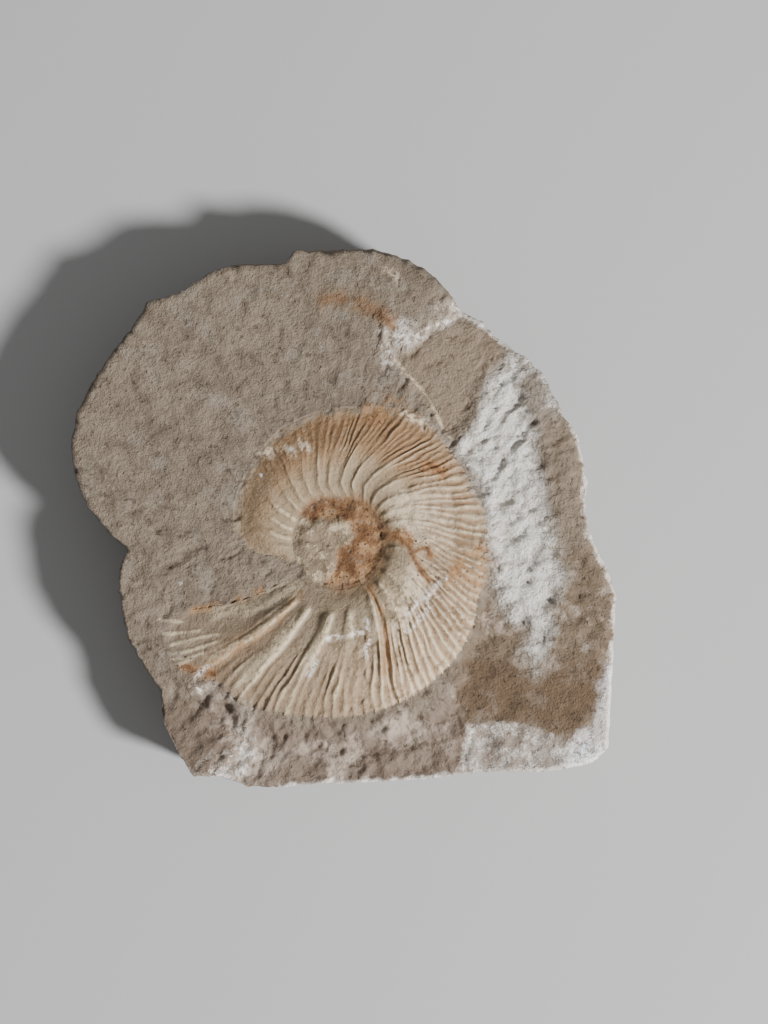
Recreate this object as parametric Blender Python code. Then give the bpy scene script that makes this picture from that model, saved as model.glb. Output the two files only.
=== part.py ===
"""A ribbed ammonite standing out of a loose plate of limestone.

Fossil and matrix are one stone, so they are one closed solid. A radial section is spun round the
middle of the coil, then every ring and column of the spun sheet is moved to the place that the
outline of the plate, the coil and its ribs give it. Lengths are millimetres and angles are degrees
until the last step. The coil grows clockwise seen from above, from START_ANGLE down to LIP_ANGLE.
"""

import math

import bmesh
import bpy
from mathutils import Matrix, Vector, noise

MM = 0.001

# Plate
PLATE_HEIGHT = 12.4  # the bedding plane that the fossil lies on
WALL_RINGS = [(10.4, 0.0), (3.2, 0.7), (0.0, 1.9)]  # height and inset down the broken side wall
WALL_CHIPS = 0.35  # share of the inset by which the wall wanders
WALL_CHIP_SIZE = 9.0
RIM_BEVELS = [(215, 0.5), (150, 0.45), (100, 0.5), (60, 1.6), (20, 1.5), (-20, 1.2), (-38, 3.4),
              (-60, 1.8), (-100, 1.2), (-125, 0.6), (-145, 0.5)]
GROUND = 0.14  # unevenness of the bedding plane
GROUND_ON_SPLITS = 0.12  # more of it for each millimetre that has split off
GROUND_LUMPS = 5.0

# Coil
COIL_CENTRE = Vector((-0.5, -4.0))
UMBILICUS = 6.8
UMBILICUS_FLOOR = 12.8
UMBILICUS_ROUGHNESS = 0.25
UMBILICUS_LUMPS = 3.0
GROOVE_DEPTH = 0.3
GROOVE_PLACE = 0.93
GROOVE_HALF_WIDTH = 0.12
INNER_WALL = (-0.03, 0.13)  # the shares of the way across over which the coil rises
START_ANGLE = 201.5
LIP_ANGLE = -145.0
LIP_GAP = 0.3
MARGIN = [(201.5, 7.7), (192, 9.1), (188, 11.8), (181, 14), (174, 15.1), (161, 16), (139, 16.9),
          (128, 17.6), (117, 18.5), (100, 19.1), (84, 19.8), (70, 20.8), (62, 21.8), (45, 20.9),
          (18, 21.2), (-8, 22.4), (-22, 21.7), (-30, 22.7), (-42, 23.6), (-62, 24.5), (-88, 25.3),
          (-102, 25.7), (-122, 27.2), (-135, 26.9), (-140, 28.9), (-157, 28.7)]
ON_MARGIN = 1.001
FIRST_TURN = 14.7  # the ring of the lip eases to the margin of the first turn
FIRST_TURN_ANGLE = 203.0
FIRST_TURN_RUN = 25.0
CREST_HEIGHTS = [(201.5, 0.4), (190, 0.9), (165, 1.4), (90, 1.8), (45, 1.7), (0, 1.5), (-40, 1.7),
                 (-70, 2.1), (-97, 2.3), (-122, 1.9), (-130, 1.35), (-137, 0.65), (-145, 0.2)]
CREST_PLACE = 0.5  # share of the way from the umbilicus to the margin
SHOULDER_SHARES = [(201.5, 0.35), (90, 0.35), (40, 0.5), (0, 0.6), (-50, 0.5), (-80, 0.32)]
MARGIN_SHARES = [(201.5, 0.02), (90, 0.04), (60, 0.2), (50, 0.28), (0, 0.28), (-60, 0.25),
                 (-95, 0.12), (-130, 0.06), (-138, 0.0), (-145, 0.0)]
MERGES = [(201.5, 1), (90, 1), (72, 0.4), (60, 0), (-122, 0), (-132, 1)]  # margins that die away

# Ribs
PRIMARY_RIBS = [185, 175, 164.3, 152.7, 140.2, 130.6, 119.8, 109.3, 99.2, 87.5, 77.3, 65.4, 52.5,
                41.5, 30.8, 19.3, 7.5, -5, -18, -32, -45.6, -61.0, -79.6, -95.8, -114.2, -126.4, -141]
SECONDARY_PITCH = 3.4
BARE_PITCH = 6.6  # between columns behind the lip, where there are no ribs
RIB_LEANS = [(215, 12), (190, 8), (130, 7), (100, 12), (65, 17), (-45, 16), (-61, 13), (-97, 11.5),
             (-116, 8), (-128, 10), (-145, 12)]
RIB_STRAIGHT = 0.12
LEAN_EASE = 1.3
RIB_BEFORE = 3.0  # reach of a primary rib's steep side, towards its forebear
RIB_AFTER = 6.5  # and of its gentle side, towards the lip
RIB_STARTS = (0.02, 0.12)
FORKS = (0.48, 0.68)  # the shares of the way across over which primary ribs give way to secondary
PRIMARY_LOSS = 0.8
PRIMARY_HEIGHTS = [(201.5, 0.1), (190, 0.2), (175, 0.35), (150, 0.42), (120, 0.42), (85, 0.36),
                   (35, 0.36), (20, 0.28), (-25, 0.25), (-40, 0.42), (-61, 0.55), (-72, 0.4),
                   (-82, 0.45), (-95, 0.62), (-115, 0.66), (-127, 0.55), (-134, 0.2), (-141, 0.3)]
SECONDARY_HEIGHTS = [(215, 0), (150, 0.05), (125, 0.1), (100, 0.16), (75, 0.24), (62, 0.42),
                     (20, 0.38), (-60, 0.4), (-95, 0.46), (-120, 0.4), (-127, 0.15), (-132, 0.03),
                     (-145, 0)]
CONSTRICTIONS = [(-57.5, 2.6, 0.45)]  # angle, half width, depth
CONSTRICTION_RUN = 0.2

# Places where a layer has split off the plate: corners, depth and width of the broken edge
FACET = [(7.5, 22.9), (11.1, 17.5), (13.9, 13.2), (16.1, 9.2), (20.8, 13.9), (22.2, 20),
         (25.1, 22.5), (17.9, 29.9), (13.2, 27.3)]
RIGHT_BREAK = [(16.2, 9.6), (20.1, 14.3), (20.7, 20.5), (24.0, 23.5), (30.4, 23.5), (42.2, 5.9),
               (40.2, -3.9), (29.0, -6.2), (22.5, -6.2), (21.1, 2.0)]
BROWN_BED = [(20.2, -4.2), (29, -4.2), (40.2, -2), (42.2, -23.5), (38.7, -31.4), (32, -33.5),
             (27.6, -32), (17.3, -31.1), (17, -24.9), (20.4, -12)]
FOOT_BREAK = [(-27.5, -23.5), (-20.1, -23.7), (-11.8, -29.2), (2, -31), (12.3, -28.4),
              (18.4, -24.5), (18.4, -29.5), (27.6, -30.4), (33.3, -32.4), (38.2, -28.4),
              (42.2, -42.2), (-27.5, -42.2)]
SPLITS = [(FACET, 0.7, 0.6), (RIGHT_BREAK, 1.5, 3.0), (BROWN_BED, 1.5, 1.2), (FOOT_BREAK, 1.8, 2.0)]

# Seen from above, clockwise from the step in the upper edge
OUTLINE = [(-7.1, 39.2), (4.6, 39.4), (9.6, 37.8), (12.9, 35.9), (15.4, 33.2), (17.6, 30.0),
           (20.4, 28.7), (22.4, 26.3), (26.8, 23.4), (29.0, 21.5), (31.3, 17.2), (32.3, 14.9),
           (34.5, 11.6), (35.8, 5.0), (35.4, 0.7), (36.4, -3.2), (38.8, -8.1), (39.9, -11.9),
           (39.5, -18.7), (39.0, -26.9), (38.6, -33.7), (36.3, -36.0), (29.6, -37.2), (20.1, -37.2),
           (12.9, -38.2), (1.8, -38.8), (-9.0, -39.4), (-13.8, -39.3), (-17.6, -37.9),
           (-21.5, -37.9), (-23.6, -35.0), (-26.0, -30.1), (-26.5, -25.7), (-28.8, -22.2),
           (-31.4, -17.8), (-32.7, -11.0), (-32.6, -7.4), (-31.4, -5.0), (-33.6, -3.1),
           (-37.3, 1.3), (-39.0, 5.1), (-39.8, 10.3), (-38.9, 15.4), (-36.5, 20.0), (-34.3, 23.5),
           (-31.0, 27.6), (-28.9, 31.5), (-24.6, 32.6), (-19.5, 35.9), (-16.1, 37.1),
           (-12.0, 37.1), (-8.5, 37.2)]

# Rings of the spun sheet, from the middle of the coil out over the rim to the foot of the plate
UMBILICUS_RINGS = [0.3, 0.6, 0.82, 0.93]
COIL_RINGS = [0.0, 0.06, 0.13, 0.22, 0.32, 0.42, 0.52, 0.62, 0.72, 0.81, 0.9, 1.0]
PLATE_RINGS = [0.03, 0.22, 0.45, 0.7, 1.0]

LIMESTONE_COLOUR = (0.62, 0.53, 0.42, 1)
LIMESTONE_ROUGHNESS = 0.85
SHARP_ANGLE = 50


def along(stations, angle):
    """The value at an angle, read from stations listed by falling angle."""
    if angle >= stations[0][0]:
        return stations[0][1]
    for (before, first), (after, second) in zip(stations, stations[1:]):
        if angle >= after:
            return first + (second - first) * (before - angle) / (before - after)
    return stations[-1][1]


def ramp(value, low, high):
    """0 below low, 1 above high, smooth between."""
    share = min(max((value - low) / (high - low), 0), 1)
    return share * share * (3 - 2 * share)


def rough(place, grain, seed=0.0):
    """Uneven ground between about -1 and 1, with lumps of the given size."""
    return noise.fractal(Vector((place.x / grain, place.y / grain, seed)), 1.0, 2.0, 3)


def depth_inside(corners, place):
    """How far a place lies inside a polygon, negative outside."""
    nearest, inside = math.inf, False
    for start, end in zip(corners, corners[1:] + corners[:1]):
        side, offset = Vector(end) - Vector(start), place - Vector(start)
        share = min(max(offset.dot(side) / side.length_squared, 0), 1)
        nearest = min(nearest, (offset - share * side).length)
        if (start[1] > place.y) != (end[1] > place.y):
            if place.x < start[0] + (place.y - start[1]) * side.x / side.y:
                inside = not inside
    return nearest if inside else -nearest


def reach_of_outline(angle):
    """Distance from the middle of the coil to the plate's outline."""
    ray = Vector((math.cos(math.radians(angle)), math.sin(math.radians(angle))))
    farthest = 0
    for start, end in zip(OUTLINE, OUTLINE[1:] + OUTLINE[:1]):
        offset = Vector(start) - COIL_CENTRE
        side = Vector(end) - Vector(start)
        slant = ray.cross(side)
        if abs(slant) < 1e-9:
            continue
        if 0 <= offset.cross(ray) / slant <= 1:
            farthest = max(farthest, offset.cross(side) / slant)
    return farthest


def column_angles():
    """Where each column leaves the umbilicus: a crest and a trough for every secondary rib."""
    ends = [LIP_ANGLE + 360 - LIP_GAP, *PRIMARY_RIBS, LIP_ANGLE + LIP_GAP]
    angles = []
    for start, end in zip(ends, ends[1:]):
        pitch = BARE_PITCH if start == ends[0] else SECONDARY_PITCH
        count = 2 * max(round((start - end) / pitch), 1)
        angles += [start + (end - start) * i / count for i in range(count)]
    return angles + [ends[-1]]


def lean(base, share):
    """How far a rib has swept forward at a share of the way across the coil."""
    run = min(max((share - RIB_STRAIGHT) / (1 - RIB_STRAIGHT), 0), 1)
    return along(RIB_LEANS, base) * math.sin(math.pi / 2 * run) ** LEAN_EASE


def ring_margin(angle):
    """Where the coil's outermost ring runs: the margin, eased from the lip to the first turn."""
    lip = MARGIN[-1][1]
    eased = lip - (lip - FIRST_TURN) * (FIRST_TURN_ANGLE - angle) / FIRST_TURN_RUN
    return max(along(MARGIN, angle), eased)


def rib_height(base, share):
    """Height of primary and secondary ribs over the flank of the coil."""
    passed = min([rib for rib in PRIMARY_RIBS if rib >= base], default=None)
    coming = max([rib for rib in PRIMARY_RIBS if rib < base], default=None)
    if passed is None or coming is None:
        return 0
    gap = passed - coming
    offset = passed - base
    near = min(offset / RIB_AFTER, (gap - offset) / RIB_BEFORE, 1)
    primary = 1 - math.sin(math.pi / 2 * near)
    count = max(round(gap / SECONDARY_PITCH), 1)
    secondary = 1 - abs(math.sin(math.pi * count * offset / gap))
    forked = ramp(share, *FORKS)
    primary *= along(PRIMARY_HEIGHTS, base) * ramp(share, *RIB_STARTS) * (1 - PRIMARY_LOSS * forked)
    return primary + secondary * along(SECONDARY_HEIGHTS, base) * forked


def coil_height(base, share):
    """Height of the fossil at a share of the way from the umbilicus to the margin."""
    crest = along(CREST_HEIGHTS, base)
    if share < CREST_PLACE:
        dome = 1 - (1 - along(SHOULDER_SHARES, base)) * ((CREST_PLACE - share) / CREST_PLACE) ** 2
    else:
        run = (share - CREST_PLACE) / (1 - CREST_PLACE)
        fall = run**2 * (1 + along(MERGES, base) * (2 - 2 * run))
        dome = 1 - (1 - along(MARGIN_SHARES, base)) * fall
    height = PLATE_HEIGHT + crest * dome + rib_height(base, share)
    for angle, half_width, depth in CONSTRICTIONS:
        furrow = 1 - ramp(abs(base - angle), 0, half_width)
        height -= depth * furrow * ramp(share, 0, CONSTRICTION_RUN)
    wall = ramp(share, *INNER_WALL)
    return UMBILICUS_FLOOR + (height - UMBILICUS_FLOOR) * wall


def umbilicus_height(share, place):
    """Height of the worn fill in the middle, with the groove round it."""
    groove = GROOVE_DEPTH * (1 - ramp(abs(share - GROOVE_PLACE), 0, GROOVE_HALF_WIDTH))
    return UMBILICUS_FLOOR + UMBILICUS_ROUGHNESS * rough(place, UMBILICUS_LUMPS, 4.0) - groove


def plate_height(place):
    """Height of the matrix, with its split layers and broken ground."""
    split = 0
    for corners, depth, edge in SPLITS:
        split = max(split, depth * ramp(depth_inside(corners, place), -edge / 2, edge / 2))
    ground = GROUND + GROUND_ON_SPLITS * split
    return PLATE_HEIGHT - split + ground * rough(place, GROUND_LUMPS)


def column_points(base):
    """The points of one column, from the middle of the coil to the foot of the plate."""
    points = []

    def put(angle, radius, height):
        turn = math.radians(angle)
        ray = Vector((math.cos(turn), math.sin(turn)))
        place = COIL_CENTRE + radius * ray
        level = height(place) if callable(height) else height
        points.append(Vector((place.x, place.y, level)))

    for share in UMBILICUS_RINGS:
        put(base, share * UMBILICUS, lambda place, share=share: umbilicus_height(share, place))
    for ring in COIL_RINGS:
        angle = base - lean(base, ring)
        radius = UMBILICUS + ring * (ring_margin(angle) - UMBILICUS)
        share = (radius - UMBILICUS) / (along(MARGIN, angle) - UMBILICUS)
        fossil = LIP_ANGLE < base < START_ANGLE and share < ON_MARGIN
        put(angle, radius, coil_height(base, share) if fossil else plate_height)
    angle = base - lean(base, 1)
    margin, rim = ring_margin(angle), reach_of_outline(angle)
    bevel = along(RIM_BEVELS, angle)
    for share in PLATE_RINGS:
        put(angle, margin + share * (rim - bevel - margin), plate_height)
    for level, inset in WALL_RINGS:
        chip = WALL_CHIPS * inset * noise.noise(Vector((angle / WALL_CHIP_SIZE, level, 2.0)))
        put(angle, rim - inset + chip, level)
    return points


def spun_sheet(rings, columns):
    """A flat fan of rings and columns, spun from one radial line, as a grid of its vertices."""
    sheet = bmesh.new()
    line = [sheet.verts.new((ring, 0, 0)) for ring in range(rings + 1)]
    edges = [sheet.edges.new(pair) for pair in zip(line, line[1:])]
    bmesh.ops.spin(sheet, geom=line + edges, axis=(0, 0, -1), cent=(0, 0, 0), steps=columns,
                   angle=math.tau, use_merge=True)
    bmesh.ops.remove_doubles(sheet, verts=sheet.verts, dist=0.001)
    grid = {}
    for vertex in sheet.verts:
        turn = math.atan2(-vertex.co.y, vertex.co.x) % math.tau
        grid[round(vertex.co.length), round(turn / math.tau * columns) % columns] = vertex
    return sheet, grid


def ammonite_mesh():
    """The closed solid of plate and fossil."""
    columns = [column_points(base) for base in column_angles()]
    sheet, grid = spun_sheet(len(columns[0]), len(columns))
    for number, column in enumerate(columns):
        for ring, point in enumerate(column, start=1):
            grid[ring, number].co = point
    middle = next(vertex for (ring, _), vertex in grid.items() if ring == 0)
    place = COIL_CENTRE.to_3d()
    middle.co = (place.x, place.y, umbilicus_height(0, place))
    rim = [edge for edge in sheet.edges if edge.is_boundary]
    bmesh.ops.holes_fill(sheet, edges=rim, sides=0)
    bmesh.ops.triangulate(sheet, faces=[face for face in sheet.faces if len(face.verts) == 4])
    bmesh.ops.recalc_face_normals(sheet, faces=sheet.faces)
    return sheet


def centre_on_origin(sheet):
    """Moves the solid so that the middle of its box's underside is the origin."""
    for axis in (0, 1):
        places = [vertex.co[axis] for vertex in sheet.verts]
        shift = Vector((0, 0, 0))
        shift[axis] = -(min(places) + max(places)) / 2
        bmesh.ops.translate(sheet, verts=sheet.verts, vec=shift)


def limestone():
    material = bpy.data.materials.new("limestone")
    material.use_nodes = True
    shader = material.node_tree.nodes["Principled BSDF"]
    shader.inputs["Base Color"].default_value = LIMESTONE_COLOUR
    shader.inputs["Roughness"].default_value = LIMESTONE_ROUGHNESS
    shader.inputs["Metallic"].default_value = 0.0
    return material


def main():
    for item in list(bpy.data.objects):
        bpy.data.objects.remove(item, do_unlink=True)
    fossil = bpy.data.collections.new("ammonite_fossil")
    bpy.context.scene.collection.children.link(fossil)
    sheet = ammonite_mesh()
    centre_on_origin(sheet)
    bmesh.ops.transform(sheet, matrix=Matrix.Scale(MM, 4), verts=sheet.verts)
    mesh = bpy.data.meshes.new("ammonite_slab")
    sheet.to_mesh(mesh)
    sheet.free()
    mesh.materials.append(limestone())
    mesh.shade_smooth()
    mesh.set_sharp_from_angle(angle=math.radians(SHARP_ANGLE))
    slab = bpy.data.objects.new("ammonite_slab", mesh)
    fossil.objects.link(slab)


main()
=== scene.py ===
import math

import bmesh
import bpy
import numpy as np
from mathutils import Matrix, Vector


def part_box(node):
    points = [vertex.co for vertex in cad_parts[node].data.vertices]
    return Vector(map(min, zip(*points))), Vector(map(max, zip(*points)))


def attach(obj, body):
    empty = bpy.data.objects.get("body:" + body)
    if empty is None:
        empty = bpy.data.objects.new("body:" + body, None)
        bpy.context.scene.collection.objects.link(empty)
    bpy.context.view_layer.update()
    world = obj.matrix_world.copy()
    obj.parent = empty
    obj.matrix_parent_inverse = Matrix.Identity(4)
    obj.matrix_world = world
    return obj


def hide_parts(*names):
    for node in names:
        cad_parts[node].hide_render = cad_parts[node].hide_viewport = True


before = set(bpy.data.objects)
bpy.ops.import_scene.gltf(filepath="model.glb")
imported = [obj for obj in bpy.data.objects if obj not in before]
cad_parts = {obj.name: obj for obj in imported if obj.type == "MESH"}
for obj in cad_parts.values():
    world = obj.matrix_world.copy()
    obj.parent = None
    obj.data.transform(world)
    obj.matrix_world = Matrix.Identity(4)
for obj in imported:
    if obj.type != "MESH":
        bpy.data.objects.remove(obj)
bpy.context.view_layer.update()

# Lengths are millimetres and angles are degrees until a mesh is finished.
# The coil grows clockwise seen from above, so angles fall from its start to its lip.

plate = {
    "height": 12.4,  # the bedding plane that the fossil lies on
    "widestHeight": 10.4,
    "waistHeight": 3.2,
    "waistInset": 0.7,
    "footInset": 1.9,
    "rimBevels": [(215, 0.4), (150, 0.35), (100, 0.45), (60, 1.6), (20, 1.5), (-20, 1.2),
                  (-38, 3.4), (-60, 1.8), (-100, 1.2), (-125, 0.6), (-145, 0.4)],
    "outline": [
        (-7.1, 39.2), (4.6, 39.4), (9.6, 37.8), (12.9, 35.9), (15.4, 33.2), (17.6, 30.0),
        (20.4, 28.7), (22.4, 26.3), (26.8, 23.4), (29.0, 21.5), (31.3, 17.2), (32.3, 14.9),
        (34.5, 11.6), (35.8, 5.0), (35.4, 0.7), (36.4, -3.2), (38.8, -8.1), (39.9, -11.9),
        (39.5, -18.7), (39.0, -26.9), (38.6, -33.7), (36.3, -36.0), (29.6, -37.2), (20.1, -37.2),
        (12.9, -38.2), (1.8, -38.8), (-9.0, -39.4), (-13.8, -39.3), (-17.6, -37.9), (-21.5, -37.9),
        (-23.6, -35.0), (-26.0, -30.1), (-26.5, -25.7), (-28.8, -22.2), (-31.4, -17.8),
        (-32.7, -11.0), (-32.6, -7.4), (-31.4, -5.0), (-33.6, -3.1), (-37.3, 1.3), (-39.0, 5.1),
        (-39.8, 10.3), (-38.9, 15.4), (-36.5, 20.0), (-34.3, 23.5), (-31.0, 27.6), (-28.9, 31.5),
        (-24.6, 32.6), (-19.5, 35.9), (-16.1, 37.1), (-12.0, 37.1), (-8.5, 37.2)],
    "spread": 1.02,  # the rim stands this much further out than drawn
    "ragged": 0.35,  # how far the broken rim wanders inwards
    "ground": 0.14,
    "coarse": 0.17,
    "fine": 0.09,
    "boulders": 1.0,
    "shards": 0.42,
    "grainTurn": 35,  # the way that the weathered grain runs
    "roughness": {"facet": 0.3, "brown": 1.9, "deepBrown": 0.9, "foot": 1.9, "paleFoot": 2.3,
                  "white": 3.4, "tan": 1.8, "crumbled": 2.4},
}

coil = {
    "centre": (-0.5, -4.1),
    "umbilicus": 6.9,
    "floor": 12.8,
    "groove": 0.3,
    "start": 201.5,
    "lip": -145.0,
    "lipGap": 0.15,
    "margin": [
        (201.5, 7.9), (192, 9.3), (188, 12.0), (181, 14.3), (174, 15.4), (161, 16.3), (139, 17.2),
        (128, 18.0), (117, 18.9), (100, 19.5), (84, 20.2), (70, 21.2), (62, 22.2), (45, 21.3),
        (18, 21.6), (-8, 22.8), (-22, 22.1), (-30, 23.2), (-42, 24.1), (-62, 25.0), (-88, 25.8),
        (-102, 26.2), (-122, 27.7), (-135, 27.4), (-140, 29.5), (-157, 29.3)],
    "firstTurn": 15.0,
    "firstTurnRun": 25,  # the ring of the lip eases to the first turn over this angle
    "crestHeights": [(201.5, 0.4), (190, 0.9), (165, 1.4), (90, 1.8), (45, 1.7), (0, 1.5),
                     (-40, 1.7), (-70, 2.1), (-97, 2.3), (-122, 1.8), (-130, 1.25), (-137, 0.65),
                     (-141, 0.4), (-145, 0.2)],
    "crestPlace": 0.5,
    "shoulderShares": [(201, 0.35), (90, 0.35), (40, 0.5), (0, 0.6), (-50, 0.5), (-80, 0.32)],
    "marginShares": [(201.5, 0.02), (90, 0.04), (60, 0.2), (50, 0.28), (0, 0.28), (-60, 0.25),
                     (-95, 0.1), (-115, 0.04), (-130, 0.0), (-145, 0.0)],
    "merges": [(201, 1.0), (90, 1.0), (72, 0.4), (60, 0.0), (-122, 0.0), (-132, 1.0)],
}

ribs = {
    "primaries": [
        185, 175, 164.3, 152.7, 140.2, 130.6, 119.8, 109.3, 99.2, 87.5, 77.3, 65.4, 52.5, 41.5,
        30.8, 19.3, 7.5, -5, -18, -32, -45.6, -61.0, -79.6, -95.8, -114.2, -126.4, -141],
    "pitches": [(201, 3.4), (112, 3.4), (100, 2.3), (72, 2.3), (60, 3.0), (50, 3.4)],
    "leans": [(215, 12), (190, 8), (130, 7), (100, 12), (65, 17), (-45, 16), (-61, 13),
              (-97, 11.5), (-116, 8), (-128, 10), (-145, 12)],
    "straight": 0.12,
    "wallTurns": [(150, 0), (120, 2), (105, 5), (90, 8), (60, 8), (45, 3), (35, 0)],
    "outside": [197, -155],  # where the next ones would stand past both ends
    "before": [(201, 0.9), (60, 0.9), (0, 0.9), (-80, 0.9), (-126, 1.0), (-134, 1.6)],  # mm
    "after": [(201, 6.4), (60, 6.6), (0, 6.2), (-90, 7.0), (-124, 9), (-134, 9), (-141, 4)],  # degrees
    "rounded": [(201, 0.1), (60, 0.1), (-40, 0.5), (-80, 0.8), (-145, 0.9)],
    "starts": [(201, -0.03), (0, -0.03), (-40, 0.02), (-75, 0.12), (-95, 0.15), (-128, 0.13),
               (-145, 0.05)],
    "primaryHeights": [(201.5, 0.1), (190, 0.2), (175, 0.34), (150, 0.42), (120, 0.42), (85, 0.36),
                       (35, 0.36), (20, 0.32), (-25, 0.32), (-40, 0.42), (-61, 0.55), (-72, 0.4),
                       (-82, 0.45), (-95, 0.58), (-115, 0.6), (-127, 0.52), (-134, 0.2),
                       (-141, 0.16)],
    "fades": [(201, 0.5), (150, 0.46), (120, 0.46), (100, 0.5), (60, 0.5), (0, 0.45), (-60, 0.5),
              (-97, 0.62), (-128, 0.9), (-145, 0.8)],
    "kept": [(201, 0.1), (110, 0.15), (90, 0.25), (-90, 0.3), (-128, 0.6), (-145, 0.4)],
    "secondaryHeights": [(215, 0.02), (150, 0.05), (125, 0.1), (100, 0.16), (75, 0.24),
                         (62, 0.34), (40, 0.42), (20, 0.48), (-50, 0.5), (-95, 0.36), (-120, 0.3),
                         (-127, 0.15), (-132, 0.03), (-145, 0.0)],
    "sharpness": [(201, 0.8), (75, 0.9), (62, 1.5), (20, 1.5), (-40, 1.2), (-70, 0.9)],
    "forks": [(201, 0.45), (90, 0.45), (60, 0.5), (30, 0.42), (0, 0.35), (-25, 0.4),
              (-45, 0.5), (-60, 0.52), (-97, 0.53), (-108, 0.6), (-120, 0.72), (-128, 0.8)],
    "ends": [(201, 1.0), (75, 0.8), (60, 0.35), (-120, 0.3), (-130, 0.8), (-145, 1.0)],
    "constrictions": [(-57.5, 2.6, 0.45), (-129.0, 1.3, 0.1)],  # angle, half width, depth
    "scallops": [(201, 0), (60, 0), (50, 0.01), (-60, 0.012), (-90, 0.014), (-122, 0.012),
                 (-130, 0.01), (-136, 0)],
    "wander": 1.1,
    "unevenness": 0.45,
    "spallDepth": 0.12,
    "shellStep": 0.1,
    "flapStep": 0.3,
}

splits = {
    "facet": ([(7.6, 23.4), (11.3, 17.9), (14.2, 13.5), (16.4, 9.4), (21.2, 14.2), (22.6, 20.4),
               (25.6, 23.0), (18.3, 30.5), (13.5, 27.8)], 0.7, 0.6),
    "right": ([(16.5, 9.8), (20.5, 14.6), (21.1, 20.9), (24.5, 24.0), (31, 24), (42, 6), (40, -4),
               (29.6, -6.3), (23.0, -6.3), (21.5, 2.0)], 1.5, 6.0),
    "brown": ([(20.6, -4.3), (29.6, -4.3), (40, -2), (42, -24), (38.5, -32), (32.6, -34.2),
               (28.2, -32.6), (17.6, -31.7), (17.3, -25.4), (20.8, -12.2)], 1.5, 1.2),
    "foot": ([(-28, -25), (-21.5, -26.2), (-12.5, -31.2), (2, -32.4), (12.5, -29.6), (18.8, -25),
              (18.8, -30.1), (28.2, -31.0), (34, -33), (38, -29), (42, -42), (-28, -42)],
             1.7, 9.0),
}

grid = {"columnsPerRib": 7, "bareColumns": 40, "umbilicus": 13, "coil": 53, "plate": 32,
        "bevel": 4, "wall": 13, "underside": 5}

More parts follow.
